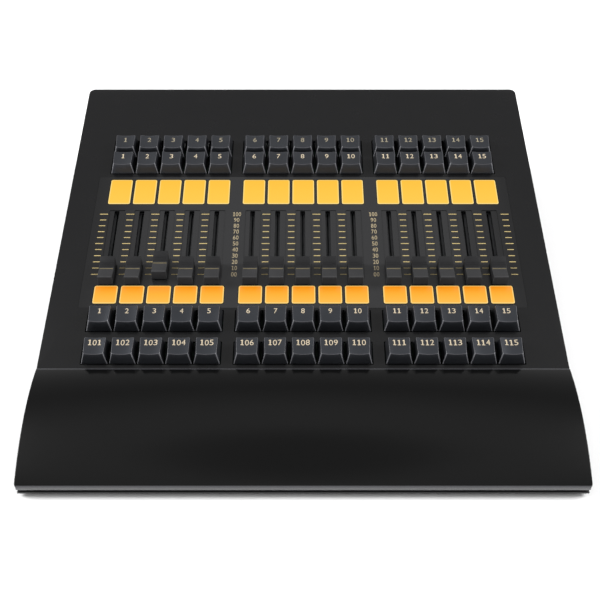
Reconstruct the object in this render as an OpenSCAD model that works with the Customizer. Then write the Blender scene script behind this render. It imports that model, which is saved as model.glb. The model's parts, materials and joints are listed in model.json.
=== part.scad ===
// Lighting control desk: a wedge-shaped wing with fifteen slide faders,
// sixty keys, thirty backlit label windows and a curved wrist rest.
// +Z is up, +Y points to the rear and +X to the operator's right.
// The origin is on the desk top, below the middle of the case.

/* [Case] */
// Width of the case across the control surface
case_w = 360; // [356:1:400]
// Slope of the control surface
tilt = 10; // [9:0.5:12]
// Depth of the control surface, measured along its slope
panel_d = 289.5; // [280:0.5:310]
// Thickness of the control surface
panel_t = 2; // [1.5:0.25:2]
// Thickness of the folded sheet of the case
sheet_t = 1.5; // [1.2:0.1:2]
// Height of the control surface above the desk top at the wrist rest
seam_z = 24; // [23:0.5:30]

/* [Wrist rest] */
// Chord of the wrist rest, along the slope
rest_chord = 89.2; // [85:0.5:95]
// Rise of the wrist rest above its chord
rest_rise = 7.2; // [6:0.1:9]
// Wall of the wrist rest
rest_wall = 2.5; // [2:0.1:3]
// Radius of the full-round front lip
lip_r = 2.2; // [2:0.1:2.4]

/* [Keys] */
// Distance between keys in a bank of five
key_pitch = 19.05; // [19.05:0.05:19.5]
// Distance between the last key of a bank and the first of the next
bank_step = 27.3; // [26:0.1:29]
// Side of a keycap at its skirt
cap_base = 18.1; // [17.5:0.1:18.2]
// Height of a keycap
cap_h = 8.4; // [8:0.1:9]
// Gap between the skirts and the edge of their opening
key_gap = 0.7; // [0.5:0.1:0.9]
// Travel of a key
key_travel = 3.6; // [3:0.1:3.7]

/* [Faders] */
// Travel of a fader
fader_travel = 60; // [60:1:60]
// Width of the slot that a fader's lever runs in
slot_w = 3.7; // [3:0.1:4]
// Width of a fader cap
fader_cap_w = 11.1; // [9:0.1:11.5]
// Length of a fader cap
fader_cap_l = 20.6; // [20:0.1:21]
// Distance of the third fader above its lowest position
third_fader_up = 5.3; // [0:0.1:20]

/* [Label windows] */
// Width of a label window
window_w = 16.8; // [16:0.1:17.8]
// Offset of the windows and slot bands from the middle of their column
label_shift = 0.5; // [0:0.1:1.2]

/* [Feet] */
// Height of a rubber foot
foot_h = 2.5; // [2.4:0.1:4]
// Diameter of a rubber foot
foot_d = 16; // [12:1:20]

/* [Hidden] */
$fn = 48;
columns = 15;
bank = 5;
middle_column = 7;

// Places along the slope, from the seam with the wrist rest.
row_d_s = 13.35;
row_c_s = 41.1;
row_b_s = 197;
row_a_s = row_b_s + key_pitch;
lower_window_s = 64.85;
lower_window_l = 16.3;
upper_window_s = 167.6;
upper_window_l = 26;
fader_zero_s = 83.8;
slot_end = 3.6;
slot_s0 = fader_zero_s - slot_end;
slot_s1 = fader_zero_s + fader_travel + slot_end;
band_w = 12.2;
band_end = 0.5;

// The printed overlay, let into the control surface.
overlay_w = 318;
overlay_s0 = 52.8;
overlay_s1 = 184.1;
overlay_t = 0.4;
overlay_gap = 0.15;

// The wrist rest's outer face is an arc over its chord.
seam_step = 0.9;
rest_r = (pow(rest_chord / 2, 2) + pow(rest_rise, 2)) / (2 * rest_rise);
rest_mid_s = -rest_chord / 2;
rest_mid_n = seam_step + rest_rise - rest_r;
lip_angle = asin((rest_chord / 2 - 0.6) / (rest_r - lip_r));
lip_s = rest_mid_s - (rest_r - lip_r) * sin(lip_angle);
lip_n = rest_mid_n + (rest_r - lip_r) * cos(lip_angle);
seam_gap = 0.25;
rest_flange = 11;

// The frame is centred on the overall box, front lip to rear edge.
front_reach = -(lip_s * cos(tilt) - lip_n * sin(tilt)) + lip_r;
rear_reach = panel_d * cos(tilt) + panel_t * sin(tilt);
seam_y = (front_reach - rear_reach) / 2;
front_y = seam_y - front_reach;
rear_edge_y = seam_y + panel_d * cos(tilt);
rear_overhang = 6;
rear_y = rear_edge_y - rear_overhang;
floor_z = foot_h + sheet_t;
side_inset = 0.8;
side_x = case_w / 2 - side_inset;
flange_w = 12;
fit_gap = 0.1;
corner_r = 5;

// Fader mechanism, below the control surface.
frame_top = -4.5;
frame_h = 10;
frame_w = 11;
frame_l = 86;
frame_wall = 1;
end_wall = 3;
rail_r = 1;
rail_x = 2.9;
rail_n = -10;
rail_slack = 0.03;
carriage_slack = 0.06;
carriage_l = 9;
lever_w = 0.8;
lever_l = 5;
lever_slack = 0.05;
lever_slot_w = 1.2;

// Key mechanism.
skirt_n = -0.4;
cap_wall = 1.3;
cap_top_w = 14.2;
cap_top_l = 13.6;
cap_top_shift = 0.7;
dish_r = 30;
dish_depth = 0.8;
housing_top = -1.6;
housing_bottom = -13.2;
board_t = 1.6;
board_w = 316;

// Rear power module, seen from behind: a mains inlet below a rocker switch.
module_x = -120;
module_z = 36;
module_w = 31;
module_h = 50;
module_flange = 3;
module_depth = 24;
socket_z = -12;
socket_w = 24.5;
socket_h = 17;
socket_depth = 16;
rocker_z = 12;
rocker_w = 19;
rocker_h = 13;
rocker_gap = 0.4;
trunnion_r = 1.5;
trunnion_slack = 0.08;
rocker_axis_in = 3;
usb_x = 60;
usb_z = 19.1;
usb_w = 12;
usb_h = 10.8;
usb_shell = 1;

function two(n) = n < 10 ? str("0", n) : str(n);
function column_x(i) = (i - middle_column) * key_pitch
    + (floor(i / bank) - 1) * (bank_step - key_pitch);
function numbered(stem) = [for (i = [1:columns]) str(stem, two(i))];

// Children are drawn on the sloping control surface: x across, y up the slope
// from the seam, z out of the surface.
module on_slope() {
    translate([0, seam_y, seam_z]) rotate([tilt, 0, 0]) children();
}

// A box from its lowest corner to its highest corner.
module block(low, high) {
    translate(low) cube(high - low);
}

// A plate with round corners, standing on z = 0.
module rounded_plate(w, l, r, t) {
    linear_extrude(t) {
        square([w - 2 * r, l], center = true);
        square([w, l - 2 * r], center = true);
        for (x = [-1, 1], y = [-1, 1])
            translate([x * (w / 2 - r), y * (l / 2 - r)]) circle(r);
    }
}

// A profile in the Y-Z plane, extruded along X from x0 to x1.
module across(x0, x1) {
    translate([x0, 0, 0]) rotate([90, 0, 90]) linear_extrude(x1 - x0) children();
}

// ---------------------------------------------------------------- case

// The wrist rest's outer arc, pulled in by inset, as a disc in the Y-Z plane.
module rest_disc(inset) {
    translate([seam_y, seam_z]) rotate(tilt)
        translate([rest_mid_s, rest_mid_n]) circle(rest_r - inset, $fn = 256);
}

module wrist_rest() {
    color([0.11, 0.11, 0.115]) across(-case_w / 2, case_w / 2) {
        // The curved wall.
        intersection() {
            difference() {
                rest_disc(0);
                rest_disc(rest_wall);
            }
            translate([seam_y, seam_z]) rotate(tilt)
                translate([lip_s, lip_n - 2 * rest_rise])
                    square([-lip_s - seam_gap, 6 * rest_rise]);
        }
        // The full-round front lip.
        translate([seam_y, seam_z]) rotate(tilt)
            translate([lip_s, lip_n]) circle(lip_r);
        // The flange that turns down at the seam.
        translate([seam_y, seam_z]) rotate(tilt)
            translate([-seam_gap - sheet_t, -rest_flange])
                square([sheet_t, rest_flange]);
    }
}

// The outline that both side walls fill, below the rest and the surface.
module side_outline() {
    wall_y = front_y + 2 * lip_r + 1;
    difference() {
        translate([wall_y, floor_z]) square([rear_y - sheet_t / 2 - wall_y, 80]);
        translate([seam_y, seam_z]) rotate(tilt)
            translate([0, -panel_t - fit_gap]) square([400, 120]);
        difference() {
            translate([seam_y, seam_z]) rotate(tilt)
                translate([-150, -60]) square([150, 200]);
            rest_disc(rest_wall + fit_gap);
        }
        // Room for the wrist rest's flange.
        translate([seam_y, seam_z]) rotate(tilt)
            translate([-seam_gap - sheet_t - fit_gap, -rest_flange - fit_gap])
                square([sheet_t + seam_gap + 2 * fit_gap, rest_flange + 20]);
    }
}

module side_wall() {
    across(side_x - sheet_t, side_x) side_outline();
    // The bottom flange, with a hole for each case screw.
    difference() {
        block([side_x - flange_w, front_y + 12, floor_z],
              [side_x - sheet_t / 2, rear_y - 8, floor_z + sheet_t]);
        for (y = screw_ys) translate([screw_x, y, 0])
            cylinder(r = screw_r + 0.05, h = 20);
    }
    // The top flange, which the control surface is bonded to.
    on_slope() block([side_x - flange_w, 4, -panel_t - fit_gap - sheet_t],
                     [side_x - sheet_t / 2, panel_d - 14, -panel_t - fit_gap]);
}

module rear_wall() {
    inlet = [module_w / 2 - 2 + fit_gap, module_h / 2 - 2 + fit_gap];
    data = [usb_w / 2 + fit_gap, usb_h / 2 + fit_gap];
    difference() {
        across(-side_x, side_x) difference() {
            translate([rear_y - sheet_t, foot_h]) square([sheet_t, 90]);
            translate([seam_y, seam_z]) rotate(tilt)
                translate([0, -panel_t - fit_gap]) square([400, 120]);
        }
        // Openings for the power module and for the data socket.
        block([module_x - inlet[0], rear_y - 10, module_z - inlet[1]],
              [module_x + inlet[0], rear_y + 10, module_z + inlet[1]]);
        block([usb_x - data[0], rear_y - 10, usb_z - data[1]],
              [usb_x + data[0], rear_y + 10, usb_z + data[1]]);
        // Cooling slots, high enough that no gap beside a key looks out through them.
        for (i = [0:vents - 1]) translate([vent_x + i * vent_pitch, rear_y - 10, vent_z])
            cube([vent_w, 20, vent_h]);
    }
}

// The sides and the rear, folded from one sheet.
module case_walls() {
    color([0.12, 0.12, 0.125]) {
        side_wall();
        mirror([1, 0, 0]) side_wall();
        rear_wall();
    }
}

vents = 12;
vent_x = -70;
vent_z = 30;
vent_w = 3;
vent_h = 20;
vent_pitch = 8;
screw_r = 1.5;
screw_x = side_x - 6.5;
screw_ys = [front_y + 28, front_y + 130, rear_y - 130, rear_y - 22];

module base_plate() {
    inset = 1.2;
    color([0.14, 0.14, 0.145]) difference() {
        block([-case_w / 2 + inset, front_y + 0.6, foot_h],
              [case_w / 2 - inset, rear_y - sheet_t - fit_gap, floor_z]);
        for (x = [-screw_x, screw_x], y = screw_ys)
            translate([x, y, 0]) cylinder(r = screw_r + 0.1, h = 20);
        // Cooling slots under the power supply and the main board.
        for (x = [-1, 1], i = [0:5])
            translate([x * 90 - 25, rear_y - 100 + i * 9, 0])
                cube([50, 3, 20]);
    }
}

module rubber_feet() {
    color([0.05, 0.05, 0.05]) for (x = [-1, 1], y = [front_y + 24, rear_y - 26])
        translate([x * (side_x - 28), y, 0]) cylinder(d = foot_d, h = foot_h);
}

module case_screws() {
    head_h = 1.5;
    color([0.25, 0.25, 0.26]) for (x = [-screw_x, screw_x], y = screw_ys)
        translate([x, y, foot_h]) {
            cylinder(r = screw_r, h = 6);
            difference() {
                translate([0, 0, -head_h]) cylinder(r = 2.8, h = head_h);
                translate([0, 0, -head_h - 0.5]) cylinder(r = 1.15, h = 1.5, $fn = 6);
            }
        }
}

// ------------------------------------------------------- control surface

module window_openings(s, l) {
    for (i = [0:columns - 1]) translate([column_x(i) + label_shift, s, -panel_t - 1])
        rounded_plate(window_w + 0.3, l + 0.3, 1.65, panel_t + 3);
}

// One opening for each bank of keys, between the front skirt of the row at s0
// and the rear skirt of the row at s1.
module bank_openings(s0, s1) {
    reach = cap_base / 2 + key_gap;
    for (b = [0:2]) block([column_x(b * bank) - reach, s0 - reach, -panel_t - 1],
                          [column_x(b * bank + bank - 1) + reach, s1 + reach, 1]);
}

module top_panel() {
    color([0.13, 0.13, 0.135]) on_slope() difference() {
        union() {
            block([-case_w / 2, 0, -panel_t], [case_w / 2, panel_d / 2, 0]);
            translate([0, panel_d / 2, -panel_t])
                rounded_plate(case_w, panel_d, corner_r, panel_t);
        }
        bank_openings(row_d_s, row_d_s);
        bank_openings(row_c_s, row_c_s);
        bank_openings(row_b_s, row_a_s);
        window_openings(lower_window_s, lower_window_l);
        window_openings(upper_window_s, upper_window_l);
        for (i = [0:columns - 1]) block([column_x(i) - slot_w / 2, slot_s0, -panel_t - 1],
                                        [column_x(i) + slot_w / 2, slot_s1, 1]);
        // The shallow bed of the printed overlay.
        block([-overlay_w / 2 - overlay_gap, overlay_s0 - overlay_gap, -overlay_t],
              [overlay_w / 2 + overlay_gap, overlay_s1 + overlay_gap, 1]);
    }
}

// A thin printed sheet, cut out round every window and in a band round every slot.
module fader_overlay() {
    color([0.17, 0.17, 0.18]) on_slope() difference() {
        block([-overlay_w / 2, overlay_s0, -overlay_t], [overlay_w / 2, overlay_s1, 0]);
        window_openings(lower_window_s, lower_window_l);
        window_openings(upper_window_s, upper_window_l);
        for (i = [0:columns - 1]) translate([column_x(i) + label_shift, 0, 0])
            block([-band_w / 2, slot_s0 - band_end, -panel_t],
                  [band_w / 2, slot_s1 + band_end, panel_t]);
    }
}

// A lens that stands 0.3 proud of the surface, on a flange below it.
module lens(l) {
    translate([0, 0, -panel_t - 0.2]) rounded_plate(window_w, l, 1.5, panel_t + 0.5);
    translate([0, 0, -panel_t - 1]) rounded_plate(window_w + 1.2, l + 2, 1.5, 0.9);
}

module label_windows() {
    color([0.98, 0.66, 0.12]) on_slope() for (i = [0:columns - 1]) {
        translate([column_x(i) + label_shift, lower_window_s, 0]) lens(lower_window_l);
        translate([column_x(i) + label_shift, upper_window_s, 0]) lens(upper_window_l);
    }
}

// ------------------------------------------------------------------ keys

// A four-sided taper: x reaches w0 / 2 below and w1 / 2 above, and y runs from
// front0 to back0 below and from front1 to back1 above.
module taper(w0, w1, front0, back0, front1, back1, z0, z1) {
    intersection() {
        translate([0, 60, 0]) rotate([90, 0, 0]) linear_extrude(120)
            polygon([[-w0 / 2, z0], [w0 / 2, z0], [w1 / 2, z1], [-w1 / 2, z1]]);
        translate([-60, 0, 0]) rotate([90, 0, 90]) linear_extrude(120)
            polygon([[front0, z0], [back0, z0], [back1, z1], [front1, z1]]);
    }
}

// A cross, as the top of a switch's slider has.
module cross(arm, thick, z0, z1) {
    block([-arm / 2, -thick / 2, z0], [arm / 2, thick / 2, z1]);
    block([-thick / 2, -arm / 2, z0], [thick / 2, arm / 2, z1]);
}

module keycap() {
    half = cap_base / 2;
    top = skirt_n + cap_h;
    front = cap_top_shift - cap_top_l / 2;
    back = cap_top_shift + cap_top_l / 2;
    ceiling = top - 2.5;
    difference() {
        taper(cap_base, cap_top_w, -half, half, front, back, skirt_n, top);
        // The finger dish, a shallow trough along the top.
        translate([0, 60, top + dish_r - dish_depth]) rotate([90, 0, 0])
            cylinder(r = dish_r, h = 120, $fn = 96);
        // The hollow, around a boss with a cross-shaped socket.
        difference() {
            taper(cap_base - 2 * cap_wall, cap_top_w - 2 * cap_wall,
                  cap_wall - half, half - cap_wall, front + cap_wall, back - cap_wall,
                  skirt_n - 0.01, ceiling);
            translate([0, 0, boss_n]) cylinder(r = 2.75, h = 10);
        }
        cross(4.1, 1.3, boss_n - 1, ceiling - 0.1);
    }
}

boss_n = housing_top + key_travel + 0.3;

module slider() {
    block([-3.5, -2.5, housing_top - 4.8], [3.5, 2.5, housing_top - 0.1]);
    cross(4, 1.2, housing_top - 0.2, skirt_n + cap_h - 2.8);
}

module key(i, s) {
    translate([column_x(i), s, 0]) {
        color([0.1, 0.1, 0.11]) keycap();
        color([0.45, 0.25, 0.15]) slider();
    }
}

module upper_keys(i) {
    on_slope() {
        key(i, row_a_s);
        key(i, row_b_s);
    }
}

module lower_keys(i) {
    on_slope() {
        key(i, row_c_s);
        key(i, row_d_s);
    }
}

module switch_housing() {
    difference() {
        union() {
            block([-7, -7, housing_bottom], [7, 7, housing_top - 6]);
            block([-7.8, -7.8, housing_top - 6.6], [7.8, 7.8, housing_top - 5.6]);
            block([-6.1, -6.1, housing_top - 6], [6.1, 6.1, housing_top]);
        }
        block([-3.7, -2.7, housing_bottom + 1.4], [3.7, 2.7, 1]);
    }
}

module key_switches() {
    color([0.08, 0.08, 0.08]) on_slope()
        for (i = [0:columns - 1], s = [row_a_s, row_b_s, row_c_s, row_d_s])
            translate([column_x(i), s, 0]) switch_housing();
}

// ---------------------------------------------------------------- faders

module fader_frame() {
    middle = fader_zero_s + fader_travel / 2;
    low = middle - frame_l / 2;
    high = middle + frame_l / 2;
    difference() {
        block([-frame_w / 2, low, frame_top - frame_h], [frame_w / 2, high, frame_top]);
        block([-frame_w / 2 + frame_wall, low + end_wall, frame_top - frame_h + frame_wall],
              [frame_w / 2 - frame_wall, high - end_wall, frame_top - frame_wall]);
        // The slot for the lever.
        block([-lever_slot_w / 2, middle - 35, frame_top - 2],
              [lever_slot_w / 2, middle + 35, frame_top + 1]);
        for (x = [-rail_x, rail_x]) translate([x, low - 1, rail_n]) rotate([-90, 0, 0])
            cylinder(r = rail_r + rail_slack, h = frame_l + 2);
    }
    for (x = [-rail_x, rail_x]) translate([x, low + 0.5, rail_n]) rotate([-90, 0, 0])
        cylinder(r = rail_r, h = frame_l - 1);
}

module fader_frames() {
    color([0.6, 0.6, 0.62]) on_slope() for (i = [0:columns - 1])
        translate([column_x(i), 0, 0]) fader_frame();
}

// The cap's side view: upright ends with rounded-off shoulders, and a top that
// dips to the index line.
module fader_cap_profile() {
    half = fader_cap_l / 2;
    polygon([[-half, 0.8], [half, 0.8], [half - 0.2, 8.2], [half - 0.8, 8.8],
             [half - 1.6, 8.8], [1, 6.5], [-1, 6.5], [-half + 1.6, 8.8],
             [-half + 0.8, 8.8], [-half + 0.2, 8.2]]);
}

module fader_cap() {
    half = fader_cap_l / 2;
    difference() {
        translate([-fader_cap_w / 2, 0, 0]) rotate([90, 0, 90])
            linear_extrude(fader_cap_w) fader_cap_profile();
        // The hollow, around a boss that grips the lever.
        difference() {
            block([-fader_cap_w / 2 + 1.2, -half + 1.6, 0], [fader_cap_w / 2 - 1.2, half - 1.6, 5.2]);
            block([-2.2, -4, -1], [2.2, 4, 6]);
        }
        block([-lever_w / 2 - lever_slack, -lever_l / 2 - lever_slack, 0],
              [lever_w / 2 + lever_slack, lever_l / 2 + lever_slack, 5.6]);
    }
}

module fader_carriage() {
    difference() {
        block([-4.2, -carriage_l / 2, rail_n - 2.2], [4.2, carriage_l / 2, rail_n + 2.2]);
        for (x = [-rail_x, rail_x]) translate([x, -carriage_l, rail_n]) rotate([-90, 0, 0])
            cylinder(r = rail_r + carriage_slack, h = 2 * carriage_l);
    }
    block([-lever_w / 2, -lever_l / 2, rail_n], [lever_w / 2, lever_l / 2, 5.4]);
}

module fader(i) {
    up = i == 2 ? third_fader_up : 0;
    on_slope() translate([column_x(i), fader_zero_s + up, 0]) {
        color([0.13, 0.13, 0.14]) fader_cap();
        color([0.7, 0.7, 0.72]) fader_carriage();
    }
}

// ----------------------------------------------------------- electronics

// A board that lies parallel to the control surface, with its top at n.
module sloping_board(s0, s1, n) {
    on_slope() block([-board_w / 2, s0, n - board_t], [board_w / 2, s1, n]);
}

led_board_n = -8;
main_board_x = 60;

module circuit_boards() {
    color([0.05, 0.3, 0.15]) {
        // Key boards, which carry the switches.
        sloping_board(row_b_s - 12, row_a_s + 12, housing_bottom);
        sloping_board(1, row_c_s + 11, housing_bottom);
        // The fader board, which carries the fader frames.
        sloping_board(72, 156, frame_top - frame_h);
        // Backlight boards, with a lamp under each window.
        sloping_board(158.5, 181.5, led_board_n);
        sloping_board(53.5, 69.5, led_board_n);
        on_slope() for (i = [0:columns - 1], s = [lower_window_s - 2, upper_window_s])
            block([column_x(i) - 2.5, s - 2.5, led_board_n - 0.1],
                  [column_x(i) + 2.5, s + 2.5, led_board_n + 1.5]);
        // The main board, level on the floor, on four posts.
        block([main_board_x - 50, rear_y - 92, floor_z + 8], [main_board_x + 50, rear_y - 4, floor_z + 9.6]);
        for (x = [-44, 44], y = [rear_y - 86, rear_y - 14])
            translate([main_board_x + x, y, floor_z]) cylinder(r = 3, h = 8.5);
        block([main_board_x - 34, rear_y - 66, floor_z + 9], [main_board_x - 14, rear_y - 46, floor_z + 11.6]);
        block([main_board_x + 8, rear_y - 72, floor_z + 9], [main_board_x + 22, rear_y - 58, floor_z + 11]);
    }
}

module power_supply() {
    low = [module_x - 30, rear_y - 132, floor_z];
    size = [62, 98, 26];
    wall = [sheet_t, sheet_t, sheet_t];
    color([0.68, 0.69, 0.7]) difference() {
        block(low, low + size);
        block(low + wall, low + size - wall);
        for (i = [0:8]) translate(low + [8, 10 + i * 9, 20]) cube([46, 3, 10]);
    }
}

// Children are drawn on the rear face: x and z from the module's middle,
// y out of the case.
module on_rear(x, z) {
    translate([x, rear_y, z]) children();
}

module power_inlet() {
    w = module_w / 2;
    h = module_h / 2;
    color([0.06, 0.06, 0.06]) on_rear(module_x, module_z) {
        difference() {
            union() {
                block([-w, 0, -h], [w, module_flange, h]);
                block([-w + 2, -module_depth, -h + 2], [w - 2, 0.01, h - 2]);
            }
            // The mains socket, with a cut corner on each side of its top.
            translate([0, module_flange - socket_depth, socket_z]) rotate([-90, 0, 0])
                linear_extrude(socket_depth + 1) polygon([
                    [-socket_w / 2, socket_h / 2], [socket_w / 2, socket_h / 2],
                    [socket_w / 2, -socket_h / 2 + 4], [socket_w / 2 - 4, -socket_h / 2],
                    [-socket_w / 2 + 4, -socket_h / 2], [-socket_w / 2, -socket_h / 2 + 4]]);
            // The well of the rocker, with a bore for each trunnion.
            block([-rocker_w / 2 - rocker_gap, -14, rocker_z - rocker_h / 2 - rocker_gap],
                  [rocker_w / 2 + rocker_gap, 10, rocker_z + rocker_h / 2 + rocker_gap]);
            translate([-rocker_w / 2 - 2, -rocker_axis_in, rocker_z]) rotate([0, 90, 0])
                cylinder(r = trunnion_r + trunnion_slack, h = rocker_w + 4);
        }
    }
    color([0.75, 0.72, 0.6]) on_rear(module_x, module_z)
        for (pin = [[-7, -1.8], [7, -1.8], [0, 2.2]])
            block([pin[0] - 1, module_flange - socket_depth - 0.5, socket_z + pin[1] - 2],
                  [pin[0] + 1, module_flange - 6, socket_z + pin[1] + 2]);
}

module power_rocker() {
    half = rocker_h / 2;
    color([0.09, 0.09, 0.09]) on_rear(module_x, module_z) translate([0, -rocker_axis_in, rocker_z]) {
        rotate([rocker_rest, 0, 0]) {
            translate([-rocker_w / 2, 0, 0]) rotate([90, 0, 90]) linear_extrude(rocker_w)
                polygon([[-2.5, -3], [-2.5, 3], [5.6, half - 0.9], [7.2, half - 0.9],
                         [5.4, 0], [7.2, -half + 0.9], [5.6, -half + 0.9]]);
        }
        translate([-rocker_w / 2 - 1.6, 0, 0]) rotate([0, 90, 0])
            cylinder(r = trunnion_r, h = rocker_w + 3.2);
    }
}

rocker_rest = -9;

module usb_socket() {
    color([0.75, 0.76, 0.78]) on_rear(usb_x, usb_z) {
        difference() {
            block([-usb_w / 2, -16, -usb_h / 2], [usb_w / 2, 0.6, usb_h / 2]);
            block([usb_shell - usb_w / 2, -15, usb_shell - usb_h / 2],
                  [usb_w / 2 - usb_shell, 1, usb_h / 2 - usb_shell]);
        }
        block([-2.9, -15.5, -1.6], [2.9, -2, 1.6]);
    }
}

// ----------------------------------------------------------------- nodes

base_plate();
case_walls();
top_panel();
fader_overlay();
wrist_rest();
label_windows();
key_switches();
fader_frames();
circuit_boards();
power_supply();
power_inlet();
usb_socket();
rubber_feet();
case_screws();
power_rocker();
for (i = [0:columns - 1]) {
    fader(i);
    upper_keys(i);
    lower_keys(i);
}
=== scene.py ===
"""A lighting control desk: keys, fader caps, lit windows, printing and case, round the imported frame."""

import json
import math

import bmesh
import bpy
from mathutils import Matrix, Vector
from mathutils.geometry import tessellate_polygon


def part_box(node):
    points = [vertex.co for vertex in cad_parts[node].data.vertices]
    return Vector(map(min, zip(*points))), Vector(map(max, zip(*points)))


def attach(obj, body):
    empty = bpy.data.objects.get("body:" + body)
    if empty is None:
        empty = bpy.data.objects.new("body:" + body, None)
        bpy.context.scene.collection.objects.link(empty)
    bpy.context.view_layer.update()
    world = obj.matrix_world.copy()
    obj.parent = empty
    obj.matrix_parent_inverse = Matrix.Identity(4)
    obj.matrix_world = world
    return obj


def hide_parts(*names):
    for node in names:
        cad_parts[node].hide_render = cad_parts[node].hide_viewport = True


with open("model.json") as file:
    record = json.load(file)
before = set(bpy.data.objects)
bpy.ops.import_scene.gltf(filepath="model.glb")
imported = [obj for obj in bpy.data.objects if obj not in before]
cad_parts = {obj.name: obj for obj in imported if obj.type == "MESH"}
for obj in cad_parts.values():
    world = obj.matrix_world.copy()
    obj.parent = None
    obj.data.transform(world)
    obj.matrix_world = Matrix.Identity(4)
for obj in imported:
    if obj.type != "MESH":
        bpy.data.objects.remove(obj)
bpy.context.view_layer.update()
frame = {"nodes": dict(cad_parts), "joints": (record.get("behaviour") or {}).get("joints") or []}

# ---------------------------------------------------------------- the slope
# Everything on the control surface is drawn in slope millimetres: x across,
# s up the slope from the seam with the wrist rest, n out of the surface.

MM = 0.001
PANEL_T = 2.0

up_slope = Vector(next(j["axis"] for j in frame["joints"] if j["name"] == "fader_01_slide"))
TILT = math.atan2(up_slope.z, up_slope.y)
panel_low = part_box("top_panel")[0]
SEAM = Vector((0, panel_low[1], panel_low[2] + PANEL_T * MM * math.cos(TILT)))
SLOPE = Matrix.Translation(SEAM) @ Matrix.Rotation(TILT, 4, "X") @ Matrix.Scale(MM, 4)


def slope_box(node):
    """A CAD node's lowest and highest corner in slope millimetres."""
    to_slope = SLOPE.inverted()
    points = [to_slope @ v.co for v in frame["nodes"][node].data.vertices]
    return [Vector([pick(p[axis] for p in points) for axis in range(3)]) for pick in (min, max)]


COLUMNS = 15
BANK = 5
CAP_BASE = 18.1
CASE_W = (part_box("top_panel")[1][0] - panel_low[0]) / MM
PANEL_D = slope_box("top_panel")[1].y

column_x = []
for number in range(1, COLUMNS + 1):
    low, high = slope_box(f"fader_{number:02d}")
    column_x.append((low.x + high.x) / 2)
fader_low, fader_high = slope_box("fader_01")
FADER_ZERO = (fader_low.y + fader_high.y) / 2

lower_low, lower_high = slope_box("lower_keys_01")
upper_low, upper_high = slope_box("upper_keys_01")
ROW_S = {
    "a": upper_high.y - CAP_BASE / 2,
    "b": upper_low.y + CAP_BASE / 2,
    "c": lower_high.y - CAP_BASE / 2,
    "d": lower_low.y + CAP_BASE / 2,
}
ROW_BODY = {"a": "upper_keys", "b": "upper_keys", "c": "lower_keys", "d": "lower_keys"}

# ---------------------------------------------------------------- camera

# Distances are in metres, from the seam with the wrist rest.
LENS = 63.04
VIEW_TO_SLOPE = math.radians(51.08)
SEAM_DEPTH = 0.7092
SEAM_DROP = 0.0466
CAMERA_X = -0.002
CAMERA_SHIFT = -0.0001


def make_camera():
    """Looks down on the desk from the operator's side."""
    down = VIEW_TO_SLOPE - TILT
    forward = Vector((0, math.cos(down), -math.sin(down)))
    up = Vector((0, math.sin(down), math.cos(down)))
    data = bpy.data.cameras.new("camera")
    data.lens = LENS
    data.shift_x = CAMERA_SHIFT
    camera = bpy.data.objects.new("camera", data)
    camera.location = SEAM - SEAM_DEPTH * forward + SEAM_DROP * up + Vector((CAMERA_X, 0, 0))
    camera.rotation_euler = (math.pi / 2 - down, 0, 0)
    bpy.context.scene.collection.objects.link(camera)
    bpy.context.scene.camera = camera


# ---------------------------------------------------------------- stage

FLOOR_RADIUS = 1.7
FLOOR_SIDES = 96
SOFTBOX_X = 1.6
SOFTBOX_Y = 0.15
SOFTBOX_Z = 1.2
SOFTBOX_SIZE = 0.9
SOFTBOX_AIM = Vector((0, 0, 0.03))
LEFT_POWER = 57
RIGHT_POWER = 49
# Brightness of the studio by the height of a direction: 0 at the horizon, 1 straight up.
STUDIO_GLOW = [(0.0, 1.2), (0.3, 1.15), (0.42, 0.8), (0.55, 0.5), (0.7, 0.32), (0.8, 0.6), (0.87, 0.85),
               (0.95, 0.95), (0.985, 0.5)]


def make_floor():
    """A round pale floor, in the middle of a pale studio."""
    bm = bmesh.new()
    bmesh.ops.create_circle(bm, cap_ends=True, segments=FLOOR_SIDES, radius=FLOOR_RADIUS)
    mesh = to_mesh("floor", bm)
    mesh.materials.append(floor_paint())
    floor = bpy.data.objects.new("floor", mesh)
    bpy.context.scene.collection.objects.link(floor)


def softbox(name, x, power):
    """A square light beside the desk, aimed at its middle."""
    data = bpy.data.lights.new(name, "AREA")
    data.shape = "RECTANGLE"
    data.size = SOFTBOX_SIZE
    data.size_y = SOFTBOX_SIZE
    data.energy = power
    light = bpy.data.objects.new(name, data)
    place = Vector((x, SOFTBOX_Y, SOFTBOX_Z))
    light.location = place
    light.rotation_euler = (SOFTBOX_AIM - place).to_track_quat("-Z", "Y").to_euler()
    bpy.context.scene.collection.objects.link(light)


def make_world():
    """A studio that is bright at the horizon, dim halfway up and brighter again overhead."""
    world = bpy.data.worlds.new("studio")
    world.use_nodes = True
    tree = world.node_tree
    direction = add_node(tree, "ShaderNodeTexCoord")
    split = add_node(tree, "ShaderNodeSeparateXYZ")
    tree.links.new(direction.outputs["Generated"], split.inputs["Vector"])
    glow = ramp(tree, split.outputs["Z"], STUDIO_GLOW)
    tree.links.new(glow, tree.nodes["Background"].inputs["Color"])
    bpy.context.scene.world = world


def make_lights():
    make_world()
    softbox("left_softbox", -SOFTBOX_X, LEFT_POWER)
    softbox("right_softbox", SOFTBOX_X, RIGHT_POWER)


# ---------------------------------------------------------------- materials

def linear(*rgb):
    """A colour given as 0 to 255 on a screen, as linear red, green, blue and alpha."""
    scaled = [c / 255 for c in rgb]
    return [c / 12.92 if c <= 0.04045 else ((c + 0.055) / 1.055) ** 2.4 for c in scaled] + [1]


def new_material(name, **sockets):
    """A material whose shader takes the given plain values, and its node tree and shader."""
    material = bpy.data.materials.new(name)
    material.use_nodes = True
    tree = material.node_tree
    shader = tree.nodes["Principled BSDF"]
    for socket, value in sockets.items():
        shader.inputs[socket.replace("_", " ")].default_value = value
    return material, tree, shader


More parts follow.
